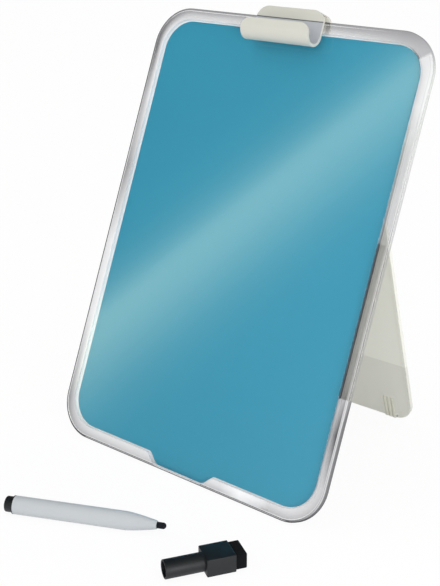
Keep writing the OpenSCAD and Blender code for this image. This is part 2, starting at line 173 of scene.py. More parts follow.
CAP_H, CAP_W, CAP_LEN, SLEEVE_LEN = 11.5 * MM, 17 * MM, 18 * MM, 23.8 * MM
SLEEVE_BORE, BORE_DEPTH = 9.6 * MM, 20 * MM
FELT_W, FELT_H, FELT_OUT, FELT_IN = 15.5 * MM, 10 * MM, 6.8 * MM, 1.5 * MM

FRAME_W, FRAME_H = FIELD_W + 2 * BORDER, FIELD_H + 2 * BORDER
FLAT_DROP = EDGE_FLAT * math.sin(LEAN) * math.cos(LEAN)
HINGE_UP = HINGE_Y * math.cos(LEAN) + HINGE_Z * math.sin(LEAN) - FLAT_DROP
LEG_LEN = (HINGE_UP - LEG_FRONT * math.sin(OPEN - LEAN) - FOOT_OUT) / math.cos(OPEN - LEAN)

BOARD = Matrix.Translation((0, 0, -FLAT_DROP)) @ Matrix.Rotation(math.pi / 2 - LEAN, 4, "X")
LEG = BOARD @ Matrix.Translation((0, HINGE_Y, HINGE_Z)) @ Matrix.Rotation(OPEN, 4, "X")
PEN = (Matrix.Translation((*PEN_AT, PEN_D / 2)) @ Matrix.Rotation(PEN_YAW, 4, "Z")
       @ Matrix.Rotation(math.pi / 2, 4, "Y"))
CAP = Matrix.Translation((*CAP_AT, 0)) @ Matrix.Rotation(CAP_YAW, 4, "Z")

# The painted shade on the lower zone of the leg's recess: the zone's height, its edge and
# how dark it is painted
ZONE_H, ZONE_EDGE, ZONE_PAINTED_SHADE = 51.5 * MM, 0.1 * MM, 0.86

# ---- Camera: the photograph's point of view ----

CAMERA_AT = Vector((465.2, -517.5, 394.0)) * MM
CAMERA_AZIMUTH, CAMERA_PITCH = math.radians(39.44), math.radians(19.08)
CAMERA_LENS, CAMERA_SHIFT = 71.93, (-0.0073, -0.0573)


def add_camera():
    data = bpy.data.cameras.new("camera")
    data.lens = CAMERA_LENS
    data.sensor_width = 36
    data.shift_x, data.shift_y = CAMERA_SHIFT
    data.clip_start, data.clip_end = 0.01, 20
    camera = bpy.data.objects.new("camera", data)
    camera.location = CAMERA_AT
    camera.rotation_euler = (math.pi / 2 - CAMERA_PITCH, 0, CAMERA_AZIMUTH)
    bpy.context.scene.collection.objects.link(camera)
    bpy.context.scene.camera = camera


# ---- Outlines ----

CORNER_STEPS, TAB_STEPS = 24, 8


def arc(centre, radius, start, end, steps):
    """Points on an arc, with its angles in degrees."""
    angles = [math.radians(start + (end - start) * i / steps) for i in range(steps + 1)]
    return [(centre[0] + radius * math.cos(a), centre[1] + radius * math.sin(a)) for a in angles]


def field(grow):
    """The coloured field's outline without its tab, grown outwards, anticlockwise."""
    x, low, high = FIELD_W / 2 - FIELD_R, BORDER + FIELD_R, BORDER + FIELD_H - FIELD_R
    corners = [((x, low), -90), ((x, high), 0), ((-x, high), 90), ((-x, low), 180)]
    return [p for centre, start in corners
            for p in arc(centre, FIELD_R + grow, start, start + 90, CORNER_STEPS)]


def tab_side(grow):
    """The right side of the tab, from its bottom to where it leaves the field."""
    slope = math.degrees(math.atan2(TAB_H, TAB_FLARE))
    reach = math.tan(math.radians(slope) / 2)
    tip = (TAB_W / 2 - TAB_TIP_R * reach, BORDER - TAB_H + TAB_TIP_R)
    root = (TAB_W / 2 + TAB_FLARE + TAB_ROOT_R * reach, BORDER - TAB_ROOT_R)
    return (arc(tip, TAB_TIP_R + grow, -90, slope - 90, TAB_STEPS)
            + arc(root, TAB_ROOT_R - grow, 90 + slope, 90, TAB_STEPS))


def field_with_tab(grow):
    """The coloured field's outline with its tab, grown outwards."""
    side = tab_side(grow)
    return side + field(grow) + [(-x, y) for x, y in reversed(side)]


# ---- Meshes ----


def lift(points, z):
    return [(x, y, z) for x, y in points]


def add_piece(name, bm, matrix, body, material, node, slot=None, sharp=50, flats=False):
    """Turns bmesh work into a smooth piece in the row frame that stands for a CAD node.

    Its edges stay sharp beyond an angle in degrees. Its large flat faces can be kept flat where
    rounded edges meet them.
    """
    bmesh.ops.recalc_face_normals(bm, faces=bm.faces)
    bm.transform(matrix)
    mesh = bpy.data.meshes.new(name)
    bm.to_mesh(mesh)
    bm.free()
    for polygon in mesh.polygons:
        polygon.use_smooth = True
    mesh.set_sharp_from_angle(angle=math.radians(sharp))
    mesh.materials.append(material)
    piece = bpy.data.objects.new(name, mesh)
    bpy.context.scene.collection.objects.link(piece)
    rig.ride(piece, body)
    if slot:
        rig.slot(piece, slot)
    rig.replaces(piece, node)
    if flats:
        modifier = piece.modifiers.new("flat faces", "WEIGHTED_NORMAL")
        modifier.keep_sharp = True
        modifier.weight = 90
    return piece


def add_loop(bm, points):
    return [bm.verts.new(p) for p in points]


def skin(bm, loops):
    """Joins closed loops of equal length with quads."""
    for low, high in zip(loops, loops[1:]):
        for corners in zip(low, low[1:] + low[:1], high[1:] + high[:1], high):
            bm.faces.new(corners)


def loop_edges(bm, loop):
    return [bm.edges.get(pair) or bm.edges.new(pair) for pair in zip(loop, loop[1:] + loop[:1])]


def fill_ring(bm, outer, inner, normal=(0, 0, 1)):
    """Fills the flat ring between two loops."""
    edges = loop_edges(bm, outer) + loop_edges(bm, inner)
    bmesh.ops.triangle_fill(bm, edges=edges, use_beauty=True, normal=normal)


def edge_round(radius, steps=4):
    """(inset, drop) along a quarter circle, from a side wall to the face beyond it."""
    angles = [math.pi / 2 * i / steps for i in range(steps + 1)]
    return [(radius * (1 - math.cos(a)), radius * (1 - math.sin(a))) for a in angles]


def close_ends(bm, loops):
    """Closes a skin's first and last loops with a face each."""
    bm.faces.new(reversed(loops[0]))
    bm.faces.new(loops[-1])


def lathe(bm, profile, steps=64, closed=True):
    """Turns a profile of (radius, height) about Z."""
    turns = [2 * math.pi * i / steps for i in range(steps)]
    loops = [add_loop(bm, [(radius * math.cos(a), radius * math.sin(a), z) for a in turns])
             for radius, z in profile]
    skin(bm, loops)
    if closed:
        close_ends(bm, loops)


# Points this close are one point. A CAD mesh's faces are joined where they meet at less than the
# first angle, in degrees, and its edges over the second angle are rounded in this many steps.
SEAM, FLAT_ANGLE, SHARP_ANGLE, ROUND_STEPS = 0.002 * MM, 1, 28, 3


def node_work(node):
    """A CAD node's own shape as bmesh work, with its doubled points and flat faces joined."""
    bm = bmesh.new()
    bm.from_mesh(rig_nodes[node].data)
    bmesh.ops.remove_doubles(bm, verts=bm.verts, dist=SEAM)
    bmesh.ops.dissolve_limit(bm, angle_limit=math.radians(FLAT_ANGLE), verts=bm.verts,
                             edges=bm.edges)
    return bm


def softened_copy(node, name, material, width):
    """A CAD node's own shape with its sharp edges rounded by a modifier."""
    piece = add_piece(name, node_work(node), Matrix.Identity(4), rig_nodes[node]["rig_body"],
                      material, node, sharp=SHARP_ANGLE)
    bevel = piece.modifiers.new("rounded edges", "BEVEL")
    bevel.width = width
    bevel.segments = ROUND_STEPS
    bevel.limit_method = "ANGLE"
    bevel.angle_limit = math.radians(SHARP_ANGLE)
    bevel.harden_normals = True


def rounded_work(node, matrix, width):
    """A CAD node's own shape in a local frame, as bmesh work with its sharp edges rounded."""
    bm = node_work(node)
    bm.transform(matrix.inverted())
    bm.normal_update()
    sharp = [e for e in bm.edges
             if len(e.link_faces) == 2 and e.calc_face_angle() > math.radians(SHARP_ANGLE)]
    bmesh.ops.bevel(bm, geom=sharp, offset=width, segments=ROUND_STEPS, profile=0.5,
                    affect="EDGES", clamp_overlap=True)
    bm.normal_update()
    return bm


# ---- Materials ----

# The clear plastic's colour where it is clear and where its painted dark is strongest, how much
# more it reflects than plain plastic, the painted dark at which its gloss is gone, and how much
# white its full painted white mixes in. Painted dark is painted shade and dark reflections, and
# painted white is painted highlights and light reflections.
CLEAR_TINT, DARKEST_PAINTED = (0.9, 0.9, 0.91), (0.1, 0.1, 0.11)
FRAME_GLOSS, DULL_PAINTED_DARK, MOST_PAINTED_WHITE = 0.24, 0.2, 0.8
GLASS_IOR, FRAME_IOR, PLASTIC_IOR = 1.5, 1.49, 1.46
# Moulded plastic's clouds of tone, patches of gloss and grain, in features per metre
CLOUDS, PATCHES, GRAIN = 14, 120, 900
# Nearly all of a noise lies between these
NOISE_RANGE = (0.3, 0.7)
WHITE = (1, 1, 1, 1)
# What the faces of the clip are marked as, beside 0 for its outside: the jaw for painted light,
# the tray and the crease for painted shade
JAW, TRAY, CREASE = -1.0, 0.5, 1.0


class Nodes:
    """Short calls that add nodes to a tree and join them."""

    def __init__(self, tree):
        self.tree = tree

    def add(self, kind, **values):
        """A new node with its inputs and settings."""
        node = self.tree.nodes.new(kind)
        for key, value in values.items():
            if key in node.inputs:
                node.inputs[key].default_value = value
            else:
                setattr(node, key, value)
        return node

    def link(self, start, end):
        self.tree.links.new(start, end)

    def noise(self, scale, detail, roughness=0.55, stretch=None):
        """Noise of a scale in features per metre, stretched along the axes if asked."""
        texture = self.add("ShaderNodeTexNoise", Scale=scale, Detail=detail, Roughness=roughness)
        where = self.add("ShaderNodeTexCoord").outputs["Object"]
        if stretch:
            mapping = self.add("ShaderNodeMapping", Scale=stretch)
            self.link(where, mapping.inputs["Vector"])
            where = mapping.outputs["Vector"]
        self.link(where, texture.inputs["Vector"])
        return texture.outputs["Fac"]

    def ramp(self, value, stops):
        """Maps a value to the colours of the stops, as (position, colour)."""
        ramp = self.add("ShaderNodeValToRGB")
        self.link(value, ramp.inputs["Fac"])
        elements = ramp.color_ramp.elements
        while len(elements) < len(stops):
            elements.new(0.5)
        for element, (position, colour) in zip(elements, stops):
            element.position = position
            element.color = (*colour, 1)
        return ramp.outputs["Color"]

    def span(self, value, low, high, start=0.0, end=1.0):
        """Maps a value from start..end to low..high."""
        node = self.add("ShaderNodeMapRange", **{"From Min": start, "From Max": end,
                                                 "To Min": low, "To Max": high})
        self.link(value, node.inputs["Value"])
        return node.outputs["Result"]

    def maths(self, operation, first, second, clamp=False):
        """Works out a value with another, or with a number."""
        node = self.add("ShaderNodeMath", operation=operation, use_clamp=clamp)
        self.link(first, node.inputs[0])
        if isinstance(second, float):
            node.inputs[1].default_value = second
        else:
            self.link(second, node.inputs[1])
        return node.outputs["Value"]

    def along(self, vector, direction):
        """How far a vector reaches along a direction."""
        node = self.add("ShaderNodeVectorMath", operation="DOT_PRODUCT")
        node.inputs[1].default_value = direction
        self.link(vector, node.inputs[0])
        return node.outputs["Value"]

    def blend(self, share, first, second):
        """Mixes two shader nodes by the second one's share."""
        mix = self.add("ShaderNodeMixShader")
        self.link(share, mix.inputs["Fac"])
        self.link(first.outputs[0], mix.inputs[1])
        self.link(second.outputs[0], mix.inputs[2])
        return mix


class Finish(Nodes):
    """A new material with its nodes."""

    def __init__(self, name):
        self.material = bpy.data.materials.new(name)
        self.material.use_nodes = True
        super().__init__(self.material.node_tree)
        self.shader = self.tree.nodes["Principled BSDF"]
        self.output = self.tree.nodes["Material Output"]

    def set(self, name, value):
        self.shader.inputs[name].default_value = value

    def tone(self, noise, colour, low, high, start=NOISE_RANGE[0], end=NOISE_RANGE[1]):
        """Colours the surface between two shades of a colour, by a noise."""
        self.link(self.ramp(noise, [(start, shade(colour, low)), (end, shade(colour, high))]),
                  self.shader.inputs["Base Color"])

    def roughen(self, shader, noise, low, high):
        """Lets a shader's roughness wander between two values, by a noise."""
        self.link(self.span(noise, low, high, *NOISE_RANGE), shader.inputs["Roughness"])

    def clouded(self, colour, least):
        """A colour multiplied by faint clouds between a least share and 1."""
        mix = self.add("ShaderNodeMix", data_type="RGBA", blend_type="MULTIPLY")
        mix.inputs["Factor"].default_value = 1
        self.link(colour, mix.inputs["A"])
        stops = zip(NOISE_RANGE, (grey(least), grey(1.0)))
        self.link(self.ramp(self.noise(CLOUDS, 3), list(stops)), mix.inputs["B"])
        return mix.outputs["Result"]

    def bump(self, height, distance):
        node = self.add("ShaderNodeBump", Distance=distance, Strength=1.0)
        self.link(height, node.inputs["Height"])
        self.link(node.outputs["Normal"], self.shader.inputs["Normal"])

    def show(self, shader):
        """Puts another shader node in place of the plain one."""
        self.tree.nodes.remove(self.shader)
        self.link(shader.outputs[0], self.output.inputs["Surface"])
        return self.material


def srgb(red, green, blue):
    """A colour with channels from 0 to 255, as the linear colour that Blender takes."""
    def linear(value):
        value /= 255
        return value / 12.92 if value <= 0.04045 else ((value + 0.055) / 1.055) ** 2.4
    return (linear(red), linear(green), linear(blue))


def shade(colour, factor):
    return tuple(min(1.0, channel * factor) for channel in colour)


def grey(value):
    return (value, value, value)


def moulded_plastic(name, colour, rough=0.42, uneven=0.05, spread=0.03, grain=GRAIN,
                    depth=0.004 * MM):
    """Satin plastic: faint clouds in its tone, uneven gloss and a fine grain."""
    n = Finish(name)
    n.tone(n.noise(CLOUDS, 3), colour, 1 - spread, 1 + spread)
    n.roughen(n.shader, n.noise(PATCHES, 3), rough - uneven, rough + uneven)
    n.bump(n.noise(grain, 3), depth)
    n.set("IOR", PLASTIC_IOR)
    return n.material


def toned_plastic(n, tone):
    """Satin plastic of a tone that nodes give."""
    n.link(n.clouded(tone, 0.98), n.shader.inputs["Base Color"])
    n.roughen(n.shader, n.noise(PATCHES, 3), 0.36, 0.46)
    n.bump(n.noise(GRAIN, 3), 0.003 * MM)
    return n.material


def clip_finish(colour, jaw_painted_light, tray_painted_shade):
    """The clip's satin plastic: painted light round its jaw, painted shade in its tray, darker in its crease."""
    n = Finish("clip plastic")
    marks = n.add("ShaderNodeAttribute", attribute_name="inside").outputs["Fac"]
    # The crease is painted darkest, a painted shade in its groove
    colours = [(JAW, jaw_painted_light), (0, colour), (TRAY, tray_painted_shade),
               (CREASE, shade(tray_painted_shade, 0.3))]
    return toned_plastic(n, n.ramp(n.span(marks, 0, 1, -1, 1),
                                   [((mark + 1) / 2, paint) for mark, paint in colours]))


def leg_finish(colour):
    """The leg's satin plastic, with painted shade on the lower zone of its recess."""
    n = Finish("leg plastic")
    direction = LEG.to_3x3() @ Vector((0, 1, 0))
    place = n.add("ShaderNodeTexCoord").outputs["Object"]
    level = (LEG @ Vector((0, -LEG_LEN + ZONE_H, 0))).dot(direction)
    zone = n.span(n.along(place, direction), 0, 1, level - ZONE_EDGE, level + ZONE_EDGE)
    return toned_plastic(n, n.ramp(zone, [(0, shade(colour, ZONE_PAINTED_SHADE)), (1, colour)]))


def gloss_share(n, ior, inner_ior):
    """How much a clear surface reflects, by angle, from its outer and from its inner side."""
    side = n.add("ShaderNodeNewGeometry").outputs["Backfacing"]
    fresnel = n.add("ShaderNodeFresnel")
    n.link(n.span(side, ior, 1 / inner_ior), fresnel.inputs["IOR"])
    return fresnel.outputs["Fac"]


def pane_glass():
    """Glass that is seen straight through, with its gloss. Its rear side lies against the film."""
    n = Finish("pane glass")
    through = n.add("ShaderNodeBsdfTransparent", Color=(0.985, 0.995, 0.995, 1))
    gloss = n.add("ShaderNodeBsdfGlossy", Color=WHITE, Roughness=0.03)
    return n.show(n.blend(gloss_share(n, GLASS_IOR, 1.0), through, gloss))


def frame_plastic():
    """Clear plastic with a silvery gloss, darker where its mesh paints shade and dark reflections, and
    whiter where its mesh paints highlights and light reflections.
    """
    n = Finish("frame plastic")
    painted_dark = n.add("ShaderNodeAttribute", attribute_name="painted_dark").outputs["Fac"]
    painted_white_share = n.add("ShaderNodeAttribute", attribute_name="painted_white").outputs["Fac"]
    through = n.add("ShaderNodeBsdfTransparent")
    n.link(n.ramp(painted_dark, [(0, CLEAR_TINT), (1, DARKEST_PAINTED)]), through.inputs["Color"])
    gloss = n.add("ShaderNodeBsdfGlossy", Color=WHITE)
    n.roughen(gloss, n.noise(60, 3), 0.04, 0.1)
    share = n.maths("ADD", gloss_share(n, FRAME_IOR, FRAME_IOR), FRAME_GLOSS, clamp=True)
    share = n.maths("MULTIPLY", share, n.span(painted_dark, 1, 0, 0, DULL_PAINTED_DARK))
    painted_white = n.add("ShaderNodeBsdfDiffuse", Color=(0.94, 0.94, 0.95, 1))
    return n.show(n.blend(n.span(painted_white_share, 0, MOST_PAINTED_WHITE), n.blend(share, through, gloss), painted_white))


def field_film(colour):
    """The blue-green layer behind the glass, with the faint unevenness of a printed film."""
    n = Finish("field film")
    n.tone(n.noise(6, 2), colour, 0.985, 1.015)
    n.roughen(n.shader, n.noise(300, 2), 0.5, 0.58)
    n.bump(n.noise(2500, 2), 0.001 * MM)
    n.set("Specular IOR Level", 0.1)
    return n.material


def brushed_metal(name, colour, rough, stretch):
    n = Finish(name)
    n.set("Metallic", 1.0)
    n.tone(n.noise(400, 3, stretch=stretch), colour, 0.9, 1.06, 0.25, 0.75)
    n.roughen(n.shader, n.noise(500, 3, stretch=stretch), rough - 0.08, rough + 0.08)
    n.bump(n.noise(900, 2, stretch=stretch), 0.003 * MM)
    return n.material


def felt(name, colour):
    """Dense felt: tangled fibres that catch the light at their tips."""
    n = Finish(name)
    fibres = n.noise(1400, 8, 0.7)
    n.tone(fibres, colour, 0.5, 1.7, 0.35, 0.65)
    n.set("Roughness", 0.95)
    n.set("Specular IOR Level", 0.15)
    n.set("Sheen Weight", 0.02)
    n.set("Sheen Roughness", 0.5)
    n.bump(fibres, 0.25 * MM)
    return n.material


def soft_rubber(name, colour):
    n = Finish(name)
    n.tone(n.noise(60, 3), colour, 0.93, 1.07)
    n.roughen(n.shader, n.noise(200, 3), 0.4, 0.55)
    n.bump(n.noise(1500, 2), 0.006 * MM)
    return n.material


# ---- The frame's border ----

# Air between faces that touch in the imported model, so neither shows through the other
SLIT = 0.01 * MM
# The roundings of the frame's rear and front edges, and how many steps each has
REAR_R, LIP_R, LIP_STEPS = 0.3 * MM, 0.35 * MM, 3
# Its bevel, the ridge along that, and how far the border falls towards the ridge
BEVEL_W, BEVEL_DROP, RIDGE_W, FALL = 1.7 * MM, 0.5 * MM, 0.3 * MM, 0.2 * MM
# Where loops run on the bevel, on the ridge and on the border's front, as shares of their widths
# inwards. Those on the ridge are given with how strong its painted highlight is.
BEVEL_SHARES = (0.08, 0.5, 0.93)
RIDGE_SHARES = ((0.3, 1), (1, 0.6))
FRONT_SHARES = (0, 0.15, 0.3, 0.45, 0.6, 0.75, 0.9, 1)
# The longest stretch between two points of a loop, and how sharp the leg's shade begins
LONGEST, SHADE_EDGE = 8 * MM, 0.3 * MM

# The clear plastic's reflections of the studio round it, and the shade of what is behind it, are
# painted on it in greys that change along each side. They are given as painted dark, from 0,
# clear, to 1, dark, and as painted white, from 0 to 1, by side. Heights and places are along the
# board, from its bottom edge and from its middle.
EDGE_PAINTED_DARK = {"right": 0.1, "top": 0.5, "left": 1.0, "bottom": 0.8}
LOW_EDGE_PAINTED_DARK = 0.55
# On the bevel, at its shares
BEVEL_PAINTED_DARK = {"right": (0.5, 0.0, 0.4), "top": (0.4, 0.33, 0.25), "left": (1.0, 0.8, 0.0),
               "bottom": (0.7, 0.45, 0.3)}
BEVEL_PAINTED_WHITE = {"right": (0.0, 0.4, 0.0), "left": (0.0, 0.1, 0.85)}
# On the ridge, on the border's front, and on the pocket's wall
RIDGE_PAINTED_WHITE = {"right": 0.3, "top": 1, "left": 1, "bottom": 1}
FRONT_PAINTED_WHITE = {"right": 0.05, "top": 0.45, "left": 0.85, "bottom": 0.42}
WALL_PAINTED_DARK = {"right": 0.35, "top": 0.25, "left": 0.2, "bottom": 0.2}
WALL_PAINTED_WHITE = {"right": 0.8, "top": 1, "left": 1, "bottom": 0.5}
# Where the right side's bevel is fully clear and fully dark, and how much darkness it loses
CLEAR_ABOVE, DARK_BELOW, DARK_LOSS = 235 * MM, 195 * MM, 0.95
# The right side's stretches with the leg behind the border and behind the pocket's wall, the
# painted shade on the border where the leg is behind it, and the faint painted dark above that
LEG_STRETCH, LEG_PAINTED_SHADE, RIGHT_PAINTED_DARK = (84.5 * MM, 182 * MM), 0.3, 0.04
SHADED_WALL = (84.5 * MM, 186 * MM)
# The dark reflection painted low on the right: its middle, its reach and how dark it is
SMEAR_Y, SMEAR_REACH, SMEAR_PAINTED_DARK = 62 * MM, 34 * MM, 1.0
# The darker painted reflection that ends across the top right corner, at an angle from the right,
# and how dark it is
CORNER_FROM, CORNER_END, CORNER_PAINTED_DARK = 25 * MM, 33, 0.22
# The lighter painted reflection below it, the painted dark of the frame's rear round that corner,
# and the painted white that the pocket's wall loses there
HIGH_FROM, HIGH_TO, HIGH_PAINTED_DARK, HIGH_PAINTED_WHITE = 240 * MM, 268 * MM, 0.2, 0.48
REAR_PAINTED_DARK, TOP_WALL_LOSS = 0.2, 0.8
# The greyer painted reflection on the outer half of the left side's top, and how much of its
# painted white the bevel loses
HEAD, HEAD_PAINTED_WHITE, HEAD_BEVEL = (215 * MM, 285 * MM), 0.75, 0.4
# The dip in the left side's painted white, and the bright painted highlight beside the tab
DIP_Y, DIP_REACH, DIP = 195 * MM, 55 * MM, 0.58
BRIGHT_X, BRIGHT_REACH, BRIGHT = 55 * MM, 18 * MM, 0.5
# The bottom left corner, painted less white, and the bottom right one, painted darker
FOOT_FROM, FOOT_TO, FOOT_END, FOOT_PAINTED_DARK, FOOT_PAINTED_WHITE = 25 * MM, 85 * MM, -55 * MM, 0.2, 0.5
LOW_FROM, LOW_PAINTED_DARK, LOW_PAINTED_WHITE = 70 * MM, 0.13, 0.15


def border_height(inset):
    """Height of the border's front face at a distance inside the frame's outer edge."""
    return FRAME_T - FALL * (1 - min((inset - BEVEL_W) / (BORDER - BEVEL_W), 1)) ** 2


def by_side(inwards, right=0.0, top=0.0, left=0.0, bottom=0.0):
    """Blends a value for each side of the frame by the direction inwards from its rim."""
    x, y = inwards
    return (right * max(0, -x) ** 2 + top * max(0, -y) ** 2
            + left * max(0, x) ** 2 + bottom * max(0, y) ** 2)


def share_between(value, low, high):
    return min(1.0, max(0.0, (value - low) / (high - low)))


def nearness(value, middle, reach):
    """1 at the middle, and down to 0 where its reach ends on both sides."""
    return max(0, 1 - abs(value - middle) / reach)


def corner_angle(inwards):
    """The direction out of the frame, in degrees from the right."""
    return math.degrees(math.atan2(-inwards.y, -inwards.x))


def head_share(at):
    """How far up the left side's greyer top a place is."""
    return share_between(at.y, *HEAD) * (at.x < 0)


def foot_share(at):
    """How far a place is into the bottom left corner, up the side and along the bottom."""
    along = 1 - share_between(at.x, FRAME_R - FRAME_W / 2, FOOT_END)
    return along * (1 - share_between(at.y, FOOT_FROM, FOOT_TO))


def plain_share(at, inwards):
    """How far the bevel and its ridge melt into the border, at the top right corner."""
    if inwards.y > 0 or at.x < 0:
        return 0.0
    if at.y < FRAME_H - FRAME_R:
        return share_between(at.y, HIGH_FROM, HIGH_TO)
    return share_between(at.x, CORNER_FROM, FRAME_W / 2 - FRAME_R)


def melted(value, value_of, at, inwards):
    """A value of the bevel or its ridge, melted into the border's where those two melt."""
    plain = plain_share(at, inwards)
    return (1 - plain) * value + plain * value_of(at, inwards, 0)


def edge_painted_dark(at, inwards):
    right = LOW_EDGE_PAINTED_DARK if at.y < LEG_STRETCH[0] else EDGE_PAINTED_DARK["right"]
    return by_side(inwards, **dict(EDGE_PAINTED_DARK, right=right))


def bevel_painted_dark(at, inwards, step):
    painted_darks = {side: values[step] for side, values in BEVEL_PAINTED_DARK.items()}
    painted_darks["right"] *= 1 - DARK_LOSS * share_between(at.y, DARK_BELOW, CLEAR_ABOVE)
    return melted(by_side(inwards, **painted_darks), border_painted_dark, at, inwards)


def bevel_painted_white(at, inwards, step):
    painted_whites = {side: values[step] for side, values in BEVEL_PAINTED_WHITE.items()}
    painted_whites["left"] *= 1 - HEAD_BEVEL * head_share(at)
    return melted(by_side(inwards, **painted_whites), border_painted_white, at, inwards)


def ridge_painted_dark(at, inwards, strength):
    return melted(0, border_painted_dark, at, inwards)


def ridge_painted_white(at, inwards, strength):
    painted_whites = dict(RIDGE_PAINTED_WHITE, left=RIDGE_PAINTED_WHITE["left"] - HEAD_PAINTED_WHITE * head_share(at))
    return strength * melted(by_side(inwards, **painted_whites), border_painted_white, at, inwards)


def border_painted_dark(at, inwards, share):
    """How dark the border's front is painted, as shade and dark reflections, at a share of its width from the ridge
    inwards.
    """
    plain = plain_share(at, inwards)
    corner = HIGH_PAINTED_DARK * plain
    if corner_angle(inwards) > CORNER_END:
        corner = CORNER_PAINTED_DARK * plain ** 2
    below, above = at.y < LEG_STRETCH[0], at.y > LEG_STRETCH[1]
    right = (SMEAR_PAINTED_DARK * nearness(at.y, SMEAR_Y, SMEAR_REACH) * (1 - share) + LOW_PAINTED_DARK * below
             + LEG_PAINTED_SHADE * (not below and not above) + RIGHT_PAINTED_DARK * above * (1 - plain))
    bottom = LOW_PAINTED_DARK * (at.x > LOW_FROM)
    return by_side(inwards, right=right, bottom=bottom) + corner + FOOT_PAINTED_DARK * foot_share(at)


def border_painted_white(at, inwards, share):
    """How white the border's front is painted, as highlights and light reflections, at a share of its width from the
    ridge inwards.
    """
    plain = plain_share(at, inwards)
    high = HIGH_PAINTED_WHITE * plain * (corner_angle(inwards) <= CORNER_END)
    painted_whites = dict(FRONT_PAINTED_WHITE)
    painted_whites["top"] *= share * (1 - plain)
    painted_whites["left"] -= (DIP * nearness(at.y, DIP_Y, DIP_REACH) + FOOT_PAINTED_WHITE * foot_share(at)
                       + HEAD_PAINTED_WHITE * head_share(at) * (1 - share ** 2))
    painted_whites["bottom"] += (BRIGHT * nearness(at.x, BRIGHT_X, BRIGHT_REACH)
                         - LOW_PAINTED_WHITE * (at.x > LOW_FROM))
    return high + by_side(inwards, **painted_whites)


def wall_painted_dark(at, inwards):
    """How dark the pocket's wall is painted at its foot, fully where the leg behind it shades it."""
    painted_darks = dict(WALL_PAINTED_DARK, top=WALL_PAINTED_DARK["top"] * plain_share(at, inwards))
    if at.y < SHADED_WALL[1]:
        painted_darks["right"] = 1.0 if at.y > SHADED_WALL[0] else 0.0
    return by_side(inwards, **painted_darks)


def wall_painted_white(at, inwards):
    """How white the pocket's wall is painted at its foot, a painted highlight."""
    low = at.y < SHADED_WALL[0]
    top = WALL_PAINTED_WHITE["top"] - TOP_WALL_LOSS * plain_share(at, inwards)
    return by_side(inwards, **dict(WALL_PAINTED_WHITE, right=WALL_PAINTED_WHITE["right"] * low, top=top))


def nearest_on_rim(point):
    """The nearest point on the frame's outer outline, and the direction inwards from it."""
    x, y = point
    straight_x = FRAME_W / 2 - FRAME_R
    in_corner_x, in_corner_y = abs(x) > straight_x, not FRAME_R <= y <= FRAME_H - FRAME_R
    if in_corner_x and in_corner_y:
        cx, cy = math.copysign(straight_x, x), min(max(y, FRAME_R), FRAME_H - FRAME_R)
        away = Vector((x - cx, y - cy)).normalized()
        return Vector((cx, cy)) + FRAME_R * away, -away
    if in_corner_x:
        side = math.copysign(1, x)
        return Vector((side * FRAME_W / 2, y)), Vector((-side, 0))
    side = -1 if y < FRAME_R else 1
    return Vector((x, FRAME_H if side > 0 else 0)), Vector((0, -side))


def dense(points, longest, levels):
    """The same closed outline with its long stretches cut up, and cut at some heights."""
    result = []
    for a, b in zip(points, points[1:] + points[:1]):
        length = math.dist(a, b)
        if length < SEAM:
            continue
        count = max(1, math.ceil(length / longest))
        low, high = sorted((a[1], b[1]))
        shares = [i / count for i in range(count)]
        shares += [(y - a[1]) / (b[1] - a[1]) for y in levels if low < y < high]
        result += [(a[0] + (b[0] - a[0]) * t, a[1] + (b[1] - a[1]) * t) for t in sorted(shares)]
    return result


# ---- Pieces on the board ----


